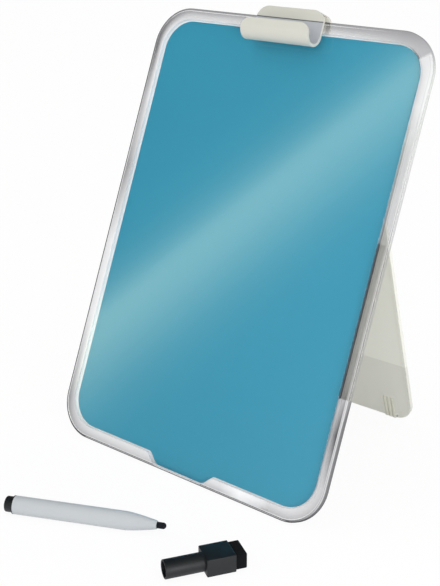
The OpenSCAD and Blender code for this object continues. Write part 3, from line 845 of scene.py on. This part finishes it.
def build_frame(material):
    """The clear frame: its edge, bevel, ridge and border, the pocket's wall and the ledge."""
    bm = bmesh.new()
    # How dark and how white each point is painted: painted shade, reflections and highlights
    painted_dark = bm.verts.layers.float.new("painted_dark")
    painted_white = bm.verts.layers.float.new("painted_white")
    levels = [y + dy for y in LEG_STRETCH for dy in (-SHADE_EDGE, SHADE_EDGE)]
    pocket = dense(field_with_tab(GLASS_MARGIN + GLASS_GAP), LONGEST, levels)
    rim = [nearest_on_rim(p) for p in pocket]
    depths = [(Vector(p) - at).length for p, (at, _) in zip(pocket, rim)]

    def ring(inset, height, painted_dark_of, painted_white_of=None, *where, share=0.0):
        """A loop at an inset from the rim, or at a share of the way from there to the pocket."""
        loop = []
        for (at, inwards), depth in zip(rim, depths):
            reach = inset + (depth - inset) * share
            z = border_height(reach) if height is None else height
            vert = bm.verts.new((*(at + inwards * reach), z))
            vert[painted_dark] = painted_dark_of(at, inwards, *where)
            if painted_white_of:
                vert[painted_white] = painted_white_of(at, inwards, *where)
            loop.append(vert)
        return loop

    lip = border_height(BEVEL_W) - BEVEL_DROP
    loops = [ring(inset, drop, edge_painted_dark)
             for inset, drop in reversed(edge_round(REAR_R, LIP_STEPS))]
    loops += [ring(inset, lip - drop, edge_painted_dark) for inset, drop in edge_round(LIP_R, LIP_STEPS)]
    for step, share in enumerate(BEVEL_SHARES):
        loops.append(ring(LIP_R + (BEVEL_W - LIP_R) * share, lip + BEVEL_DROP * share,
                          bevel_painted_dark, bevel_painted_white, step))
    for share, strength in RIDGE_SHARES:
        loops.append(ring(BEVEL_W + RIDGE_W * share, None, ridge_painted_dark, ridge_painted_white, strength))
    for share in FRONT_SHARES:
        loops.append(ring(BEVEL_W + 2 * RIDGE_W, None, border_painted_dark, border_painted_white, share,
                          share=share))
    floor = add_loop(bm, lift(pocket, BOND_Z))
    for vert, (at, inwards) in zip(floor, rim):
        vert[painted_dark], vert[painted_white] = wall_painted_dark(at, inwards), wall_painted_white(at, inwards)
    skin(bm, loops + [floor])

    window_top = add_loop(bm, lift(field(-LEDGE_IN), BOND_Z))
    # The pocket's floor is painted white up to the window, a painted highlight round the field
    for vert in window_top:
        vert[painted_white] = 1.0
    window_low = add_loop(bm, lift(field(-LEDGE_IN), LEDGE_Z))
    fill_ring(bm, floor, window_top)
    skin(bm, [window_top, window_low])
    ledge_low = add_loop(bm, lift(field(LEDGE_OUT), LEDGE_Z))
    ledge_top = add_loop(bm, lift(field(LEDGE_OUT), 0))
    # The ledge is painted dark round the top right corner, a painted reflection of the frame's rear
    for vert in ledge_low + ledge_top:
        vert[painted_dark] = REAR_PAINTED_DARK * plain_share(*nearest_on_rim(vert.co.xy)) ** 2
    fill_ring(bm, ledge_low, window_low, (0, 0, -1))
    skin(bm, [ledge_low, ledge_top])
    fill_ring(bm, loops[0], ledge_top, (0, 0, -1))
    add_piece("frame", bm, BOARD, "board", material, "clear_frame", "clear_plastic", flats=True)


def build_plate(name, node, slot, material, outline, low, high, low_round, high_round):
    """A flat layer of the board with rounded rims. Its outline(grow) is drawn at each level."""
    bm = bmesh.new()
    levels = [(-inset, low + drop) for inset, drop in reversed(edge_round(low_round))]
    levels += [(-inset, high - drop) for inset, drop in edge_round(high_round)]
    loops = [add_loop(bm, lift(outline(grow), z)) for grow, z in levels]
    skin(bm, loops)
    close_ends(bm, loops)
    add_piece(name, bm, BOARD, "board", material, node, slot, sharp=60, flats=True)


# ---- Leg ----

LEG_EDGE, LEG_RIM, RECESS, RECESS_SLOPE = 0.7 * MM, 2.3 * MM, 0.4 * MM, 0.7 * MM
# Where the recess's outline crosses itself beside a foot, out from the leg's middle and up from
# its end, the height it is closed up at, and where the wall of the foot's notch is found
CROSSED_X, CROSSED_H, CLOSED_H = 50 * MM, 3.7 * MM, 3.8 * MM
NOTCH_H, NOTCH_REACH, NOTCH_X = FOOT_H + 3 * MM, 2 * MM, 75 * MM
# A grip pad's rounding, its grooves' middles, half widths at the top and bottom, and depth
PAD_CORNER, GROOVES, GROOVE_TOP, GROOVE_FLOOR, GROOVE_DEPTH = (
    0.4 * MM, (1.6 * MM, -1.6 * MM), 0.6 * MM, 0.25 * MM, 0.35 * MM)
# How far it reaches past the leg's end before the table cuts it off, and how its top narrows, as
# (distance below the top, share of its section)
PAD_BELOW, PAD_TOP = 3 * MM, [(1.2 * MM, 1), (0.5 * MM, 0.96), (0, 0.86)]


def build_leg(material):
    """The leg with its raised rim, the recess inside it, and the lower zone of the recess."""
    bm = rounded_work("leg_panel", LEG, LEG_EDGE)
    front = max((f for f in bm.faces if f.normal.z > 0), key=lambda f: f.calc_area())
    bmesh.ops.inset_region(bm, faces=[front], thickness=LEG_RIM, use_even_offset=True)
    bmesh.ops.inset_region(bm, faces=[front], thickness=RECESS_SLOPE, depth=-RECESS,
                           use_even_offset=True)
    # The inset outline crosses itself where the bottom corner meets a foot, so it is closed there
    for side in (-1, 1):
        crossed = [v for v in front.verts if v.co.x * side > CROSSED_X
                   and (v.co.y < -LEG_LEN
                        or (abs(v.co.x) > FOOT_X and v.co.y < -LEG_LEN + CROSSED_H))]
        wall = max(abs(v.co.x) for v in front.verts
                   if abs(v.co.y + LEG_LEN - NOTCH_H) < NOTCH_REACH and abs(v.co.x) < NOTCH_X)
        bmesh.ops.pointmerge(bm, verts=crossed,
                             merge_co=(side * wall, -LEG_LEN + CLOSED_H, LEG_FRONT - RECESS))
    bmesh.ops.bisect_plane(bm, geom=[front, *front.edges, *front.verts],
                           plane_co=(0, -LEG_LEN + ZONE_H, 0), plane_no=(0, 1, 0))
    add_piece("leg", bm, LEG, "leg", material, "leg_panel", flats=True)


def build_foot(side, name, node, material):
    """A grip pad in the leg's edge, with three soft ribs on its front."""
    x, half = side * FOOT_X, FOOT_W / 2
    front, back = LEG_FRONT + FOOT_PROUD, LEG_FRONT - LEG_T - FOOT_PROUD
    section = [(half, back + PAD_CORNER), (half, front - PAD_CORNER), (half - PAD_CORNER, front)]
    for middle in GROOVES:
        section += [(middle + GROOVE_TOP, front), (middle + GROOVE_FLOOR, front - GROOVE_DEPTH),
                    (middle - GROOVE_FLOOR, front - GROOVE_DEPTH), (middle - GROOVE_TOP, front)]
    section += [(PAD_CORNER - half, front), (-half, front - PAD_CORNER),
                (-half, back + PAD_CORNER), (PAD_CORNER - half, back), (half - PAD_CORNER, back)]
    top = -LEG_LEN + FOOT_H
    levels = [(-LEG_LEN - PAD_BELOW, 1)] + [(top - drop, squeeze) for drop, squeeze in PAD_TOP]
    bm = bmesh.new()
    middle_z = (front + back) / 2
    loops = [add_loop(bm, [(x + dx * squeeze, y, middle_z + (z - middle_z) * squeeze)
                           for dx, z in section]) for y, squeeze in levels]
    skin(bm, loops)
    close_ends(bm, loops)
    bm.transform(LEG)
    bmesh.ops.bisect_plane(bm, geom=[*bm.verts, *bm.edges, *bm.faces], plane_co=(0, 0, 0),
                           plane_no=(0, 0, -1), clear_outer=True)
    bmesh.ops.holes_fill(bm, edges=[e for e in bm.edges if e.is_boundary], sides=0)
    add_piece(name, bm, Matrix.Identity(4), "leg", material, node, "foot_rubber")


# ---- Clip ----

CLIP_EDGE, TRAY_Y, TRAY_Z = 0.7 * MM, 303.8 * MM, 11.9 * MM
CREASE_Y, CREASE_W, CREASE_DEPTH = FRAME_H - 1 * MM, 0.35 * MM, 0.6 * MM
# The clip's front side is above the first of these heights, and its jaw is below the second
FRONT_Z, JAW_Z = 4.85 * MM, 2.75 * MM
# The jaw's faces look up by more than the first of these and to the top by less than the second.
# The tray's faces look inwards by more than the third.
JAW_UP, JAW_TOP, TRAY_IN = -0.3, 0.6, 0.7
# The heights between which the tray's painted shade fades in, from its rim down
TRAY_SHADE_FADE = (9.8 * MM, 7.8 * MM)


def clip_mark(face):
    """What part of the clip a face belongs to."""
    middle, normal = face.calc_center_median(), face.normal
    if middle.z < JAW_Z and normal.z > JAW_UP and normal.y < JAW_TOP:
        return JAW
    if abs(middle.y - CREASE_Y) < CREASE_W and middle.z > FRONT_Z:
        return CREASE
    inwards = Vector((0, max(TRAY_Y - middle.y, 0), TRAY_Z - middle.z)).normalized()
    if FRONT_Z < middle.z < TRAY_Z and middle.y < CREASE_Y and normal.dot(inwards) > TRAY_IN:
        return TRAY
    return 0.0


def build_clip(material):
    """The clip with rounded rims, a crease along the foot of its roof, and its parts marked for painted light and
    shade.
    """
    bm = rounded_work("pen_clip", BOARD, CLIP_EDGE)
    for y in (CREASE_Y - CREASE_W, CREASE_Y, CREASE_Y + CREASE_W):
        bmesh.ops.bisect_plane(bm, geom=[*bm.verts, *bm.edges, *bm.faces], plane_co=(0, y, 0),
                               plane_no=(0, 1, 0))
    for vert in bm.verts:
        if abs(vert.co.y - CREASE_Y) < SEAM and vert.co.z > FRONT_Z:
            vert.co.z -= CREASE_DEPTH
    bm.normal_update()
    # Each corner carries the painted light of the jaw and the painted shade of the tray and crease
    inside = bm.loops.layers.float.new("inside")
    for face in bm.faces:
        mark = clip_mark(face)
        for corner in face.loops:
            fade = share_between(corner.vert.co.z, *TRAY_SHADE_FADE) if mark == TRAY else 1
            corner[inside] = mark * fade
    add_piece("clip", bm, BOARD, "clip", material, "pen_clip", sharp=40, flats=True)


# ---- Marker ----

# The barrel's wall, the step inside its rear end, the rounding of its ends, and the power by
# which its nose curves
BARREL_WALL, BARREL_STEP, BARREL_LIP, NOSE_POWER = 1 * MM, 0.6 * MM, 0.35 * MM, 1.35
BARREL_STEPS, NOSE_STEPS = 8, 16
# The nib's hole in the nose, how far the nib goes in, and the steps of its round end
NIB_GAP, NIB_HOLE, NIB_IN, NIB_STEPS = 0.05 * MM, 2 * MM, 3 * MM, 8
# The end plug's head, the fillet at its foot, its collar, and its stem in the barrel
PLUG_R, PLUG_ROUND, FILLET_W, FILLET_H = 5 * MM, 0.7 * MM, 0.15 * MM, 0.3 * MM
COLLAR_H, COLLAR_EDGE = 0.8 * MM, 0.25 * MM
STEM_INSET, STEM_STEP, STEM_LEN = 1.05 * MM, 0.02 * MM, 6 * MM


def nose_radius(share):
    return PEN_D / 2 - (PEN_D - NOSE_D) / 2 * share ** NOSE_POWER


def turned_piece(name, node, slot, material, profile, steps=64, closed=True):
    """A piece of the marker, turned about the marker's axis."""
    bm = bmesh.new()
    lathe(bm, profile, steps, closed)
    add_piece(name, bm, PEN, "pen", material, node, slot, sharp=40)


def build_marker(barrel_material, plug_material, nib_material):
    """The marker along its axis, from its end plug to its nib."""
    radius, start, end = PEN_D / 2, PLUG_OUT, PLUG_OUT + BARREL_LEN
    tip = end + NOSE_LEN
    shell = [(radius - BARREL_WALL, start + BARREL_STEP), (radius - BARREL_WALL, start)]
    shell += [(radius - inset, start + drop) for inset, drop in reversed(edge_round(BARREL_LIP))]
    shell += [(radius, start + BARREL_LEN * i / BARREL_STEPS) for i in range(1, BARREL_STEPS)]
    shell += [(nose_radius(i / NOSE_STEPS), end + NOSE_LEN * i / NOSE_STEPS)
              for i in range(NOSE_STEPS)]
    shell += [(NOSE_D / 2 - inset, tip - drop) for inset, drop in edge_round(BARREL_LIP)]
    shell += [(NIB_D / 2 + NIB_GAP, tip), (NIB_D / 2 + NIB_GAP, tip - NIB_HOLE)]
    turned_piece("barrel", "pen_barrel", "barrel_plastic", barrel_material, shell, closed=False)

    collar = PLUG_OUT - COLLAR_H
    plug = [(PLUG_R - inset, drop) for inset, drop in reversed(edge_round(PLUG_ROUND, 5))]
    plug += [(PLUG_R, collar - FILLET_H), (PLUG_R + FILLET_W, collar),
             (radius - COLLAR_EDGE, collar), (radius, collar + COLLAR_EDGE), (radius, PLUG_OUT),
             (radius - STEM_INSET, PLUG_OUT + STEM_STEP),
             (radius - STEM_INSET, PLUG_OUT + STEM_LEN)]
    turned_piece("end_plug", "pen_end_plug", "black_plastic", plug_material, plug)

    centre = tip + NIB_OUT - NIB_D / 2
    nib = [(NIB_D / 2, tip - NIB_IN), (NIB_D / 2, tip)]
    nib += [(NIB_D / 2 * math.cos(a), centre + NIB_D / 2 * math.sin(a))
            for a in (math.pi / 2 * i / NIB_STEPS for i in range(NIB_STEPS))]
    turned_piece("nib", "pen_nib", "ink_fibre", nib_material, nib, steps=40)


# ---- Cap ----

# The roundings of the cap's block, of its sleeve's mouth and of the felt, and how far the sleeve
# goes into the block
BLOCK_ROUND, MOUTH_ROUND, FELT_ROUND, SLEEVE_IN = 0.6 * MM, 0.3 * MM, 0.8 * MM, 1 * MM


def rounded_block(bm, low, high, radius, segments=3):
    """A box between two corners with its edges rounded."""
    size = [b - a for a, b in zip(low, high)]
    centre = [(a + b) / 2 for a, b in zip(low, high)]
    verts = bmesh.ops.create_cube(bm, size=1)["verts"]
    bmesh.ops.scale(bm, vec=size, verts=verts)
    bmesh.ops.translate(bm, vec=centre, verts=verts)
    edges = list({e for v in verts for e in v.link_edges})
    bmesh.ops.bevel(bm, geom=edges, offset=radius, segments=segments, profile=0.5,
                    affect="EDGES", clamp_overlap=True)


def build_cap(material, felt_material):
    """The cap's block and sleeve in one, and the felt on its end."""
    bm = bmesh.new()
    rounded_block(bm, (0, -CAP_W / 2, 0), (CAP_LEN, CAP_W / 2, CAP_H), BLOCK_ROUND)
    block = set(bm.verts)
    sleeve = [(SLEEVE_BORE / 2, BORE_DEPTH), (SLEEVE_BORE / 2, MOUTH_ROUND)]
    sleeve += [(SLEEVE_BORE / 2 + inset, drop) for inset, drop in edge_round(MOUTH_ROUND, 3)]
    sleeve += [(CAP_H / 2 - inset, drop) for inset, drop in reversed(edge_round(MOUTH_ROUND, 3))]
    sleeve += [(CAP_H / 2, SLEEVE_LEN + SLEEVE_IN)]
    lathe(bm, sleeve)
    turn = Matrix.Translation((-SLEEVE_LEN, 0, CAP_H / 2)) @ Matrix.Rotation(math.pi / 2, 4, "Y")
    bmesh.ops.transform(bm, matrix=turn, verts=[v for v in bm.verts if v not in block])
    add_piece("cap", bm, CAP, "cap", material, "cap_shell", "black_plastic", sharp=40)

    bm = bmesh.new()
    rounded_block(bm, (CAP_LEN - FELT_IN, -FELT_W / 2, (CAP_H - FELT_H) / 2),
                  (CAP_LEN + FELT_OUT, FELT_W / 2, (CAP_H + FELT_H) / 2), FELT_ROUND, 4)
    pad = add_piece("felt", bm, CAP, "cap", felt_material, "eraser_felt", "black_felt", sharp=60)
    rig.padded(pad, fill=0.95)


# ---- Studio ----

# The brightness of the plain light from all round, half the floor's width, its paint, and how
# much of it shows as plain white
AMBIENT = 0.95
FLOOR_HALF, FLOOR_PAINT, FLOOR_WHITE = 6.0, (0.86, 0.86, 0.86, 1), 0.93
# The studio as glossy surfaces see it. A strip lamp hangs in front of the board, along the plane
# with this normal. Its light falls off by exp(-x ** power) on both sides, given as (side, height
# of the bright core, width that x counts, power, greatest x).
STRIP_NORMAL, STRIP_REACH, STRIP_STEPS = (0.6286, -0.683, -0.372), 0.12, 14
STRIP_LIGHT = (3.25, 3.9, 2.75)
STRIP_SIDES = ((-1, 0.004, 0.0165, 1.1, 4), (1, 0.0055, 0.04, 1.6, 2.6))
# Brightness of the studio's walls by the height of the direction, from the floor to overhead
WALL_PROFILE = [(0.0, 0.62), (0.12, 0.5), (0.3, 0.36), (0.46, 0.24), (0.7, 0.04), (1.0, 0.04)]
# How bright they are across, by the direction's X, from the left to straight ahead
ACROSS = [(-1.0, 0.5), (-0.66, 0.55), (-0.5, 1.5), (0.0, 1.5)]


def add_lamp(name, location, target, size, power):
    """A square lamp that shines at a target."""
    data = bpy.data.lights.new(name, "AREA")
    data.size = size
    data.energy = power
    lamp = bpy.data.objects.new(name, data)
    lamp.location = location
    lamp.rotation_euler = (Vector(target) - Vector(location)).to_track_quat("-Z", "Y").to_euler()
    bpy.context.scene.collection.objects.link(lamp)
    return lamp


def strip_profile():
    """The strip lamp's light, as (height over its plane, share of its light)."""
    stops = [(-STRIP_REACH, 0), (STRIP_REACH, 0)]
    for side, core, width, power, most in STRIP_SIDES:
        for step in range(STRIP_STEPS):
            x = most * step / (STRIP_STEPS - 1)
            stops.append((side * (core + width * x), math.exp(-x ** power)))
    return sorted(stops)


def add_world():
    """Plain light from all round, white to the camera, with the studio in the reflections."""
    world = bpy.data.worlds.new("studio")
    bpy.context.scene.world = world
    world.use_nodes = True
    n = Nodes(world.node_tree)
    n.tree.nodes.clear()
    path = n.add("ShaderNodeLightPath").outputs
    direction = n.add("ShaderNodeTexCoord").outputs["Generated"]

    reach = n.span(n.along(direction, STRIP_NORMAL), 0, 1, -STRIP_REACH, STRIP_REACH)
    strip = n.ramp(reach, [((height + STRIP_REACH) / (2 * STRIP_REACH), grey(share))
                           for height, share in strip_profile()])
    parts = n.add("ShaderNodeSeparateXYZ")
    n.link(direction, parts.inputs[0])
    walls = n.ramp(parts.outputs["Z"], [(z, grey(value)) for z, value in WALL_PROFILE])
    across = n.ramp(n.span(parts.outputs["X"], 0, 1, -1, 0),
                    [(x + 1, grey(value)) for x, value in ACROSS])
    shaded = n.add("ShaderNodeVectorMath", operation="MULTIPLY")
    n.link(walls, shaded.inputs[0])
    n.link(across, shaded.inputs[1])
    studio = n.add("ShaderNodeVectorMath", operation="MULTIPLY_ADD")
    studio.inputs[1].default_value = STRIP_LIGHT
    n.link(strip, studio.inputs[0])
    n.link(shaded.outputs["Vector"], studio.inputs[2])

    reflected = n.add("ShaderNodeBackground")
    n.link(studio.outputs["Vector"], reflected.inputs["Color"])
    soft = n.add("ShaderNodeBackground", Color=WHITE, Strength=AMBIENT)
    white = n.add("ShaderNodeBackground", Color=WHITE, Strength=1.0)
    seen = n.maths("MAXIMUM", path["Is Camera Ray"], path["Is Transmission Ray"])
    shown = n.blend(seen, n.blend(path["Is Glossy Ray"], soft, reflected), white)
    n.link(shown.outputs[0], n.add("ShaderNodeOutputWorld").inputs["Surface"])


def add_floor():
    """A white floor that shows white to the camera and keeps a faint shadow."""
    bm = bmesh.new()
    corners = [(-1, -1), (1, -1), (1, 1), (-1, 1)]
    bm.faces.new([bm.verts.new((x * FLOOR_HALF, y * FLOOR_HALF, 0)) for x, y in corners])
    mesh = bpy.data.meshes.new("floor")
    bm.to_mesh(mesh)
    bm.free()
    n = Finish("white floor")
    paint = n.add("ShaderNodeBsdfDiffuse", Color=FLOOR_PAINT)
    glow = n.add("ShaderNodeEmission", Color=WHITE, Strength=1.0)
    path = n.add("ShaderNodeLightPath").outputs
    seen = n.maths("MAXIMUM", path["Is Camera Ray"], path["Is Glossy Ray"])
    seen = n.maths("MAXIMUM", seen, path["Is Transmission Ray"])
    mesh.materials.append(n.show(n.blend(n.maths("MULTIPLY", seen, FLOOR_WHITE), paint, glow)))
    floor = bpy.data.objects.new("floor", mesh)
    bpy.context.scene.collection.objects.link(floor)
    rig.stage(floor)


# ---- The scene ----

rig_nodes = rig.load()["nodes"]
cad_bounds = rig.bounds()
bpy.context.scene.view_settings.view_transform = "Standard"
add_camera()
add_world()
add_floor()
add_lamp("key", (-0.9, -0.9, 1.4), (0, 0.05, 0.15), 1.4, 3).visible_glossy = False
add_lamp("fill", (1.0, -0.55, 0.3), (0.05, 0.12, 0.1), 0.7, 7)

WARM = srgb(214, 213, 203)

clear_plastic = frame_plastic()
pane = pane_glass()
cover_plastic = moulded_plastic("cover plastic", shade(WARM, 0.97))
# The clip's jaw is painted pale, a painted light for its shade, and its tray greyer, a painted shade
clip_plastic = clip_finish(shade(WARM, 0.84), srgb(250, 248, 240), srgb(172, 175, 181))
leg_plastic = leg_finish(srgb(222, 223, 215))
black_plastic = moulded_plastic("black plastic", srgb(12, 16, 21), rough=0.52, spread=0.06)
barrel_plastic = moulded_plastic("barrel plastic", srgb(179, 183, 186), rough=0.34, uneven=0.012,
                                 spread=0.006, grain=1500, depth=0.001 * MM)
rubber = soft_rubber("foot rubber", srgb(196, 196, 184))
# The grip pad's rubber is painted near white, a painted light for the shade round the clip's jaw
pad_rubber_painted_light = soft_rubber("pad rubber", srgb(238, 238, 232))
film = field_film(srgb(50, 142, 169))
adhesive = moulded_plastic("adhesive sheet", srgb(238, 240, 238), rough=0.6, grain=2500,
                           depth=0.001 * MM)
steel = brushed_metal("steel", srgb(190, 192, 196), 0.35, (1, 12, 1))
pin_steel = brushed_metal("pin steel", srgb(182, 184, 188), 0.28, (1, 6, 6))
screw_steel = brushed_metal("screw steel", srgb(170, 172, 176), 0.3, (4, 4, 4))
black_felt = felt("black felt", srgb(8, 10, 13))
ink_fibre = felt("ink fibre", srgb(22, 25, 30))

# The CAD nodes that are shown as they are, with their materials
KEPT = {
    "steel_sheet": steel, "cap_magnet": steel, "bracket_screws": screw_steel,
    "hinge_pin_left": pin_steel, "hinge_pin_right": pin_steel,
    "clip_grip_pad": pad_rubber_painted_light, "ink_core": ink_fibre,
}
for node, material in KEPT.items():
    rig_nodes[node].data.materials.clear()
    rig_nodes[node].data.materials.append(material)

build_frame(clear_plastic)
build_plate("bond", "bonding_sheet", "adhesive", adhesive, field_with_tab,
            BOND_Z + SLIT, FILM_Z, 0.02 * MM, 0.02 * MM)
build_plate("film", "colour_film", "colour_field", film, field_with_tab,
            FILM_Z, GLASS_Z - SLIT, 0.02 * MM, 0.02 * MM)
build_plate("pane", "glass_panel", "glass", pane,
            lambda grow: field_with_tab(GLASS_MARGIN + grow), GLASS_Z + SLIT, FRAME_T,
            0.15 * MM, 0.35 * MM)
build_plate("cover", "back_cover", "warm_grey_plastic", cover_plastic,
            lambda grow: field(grow - COVER_INSET), COVER_Z, LEDGE_Z, 0.7 * MM, 0.1 * MM)
for side in ("left", "right"):
    softened_copy(f"hinge_bracket_{side}", f"bracket_{side}", cover_plastic, 0.3 * MM)
build_leg(leg_plastic)
for side, name in ((-1, "left"), (1, "right")):
    build_foot(side, f"foot_{name}", f"leg_foot_{name}", rubber)
build_clip(clip_plastic)
build_marker(barrel_plastic, black_plastic, ink_fibre)
build_cap(black_plastic, black_felt)

sizes = {"cad": [list(corner) for corner in cad_bounds],
         "visual": [list(corner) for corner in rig.bounds()]}
with open("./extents.json", "w") as file:
    json.dump(sizes, file)
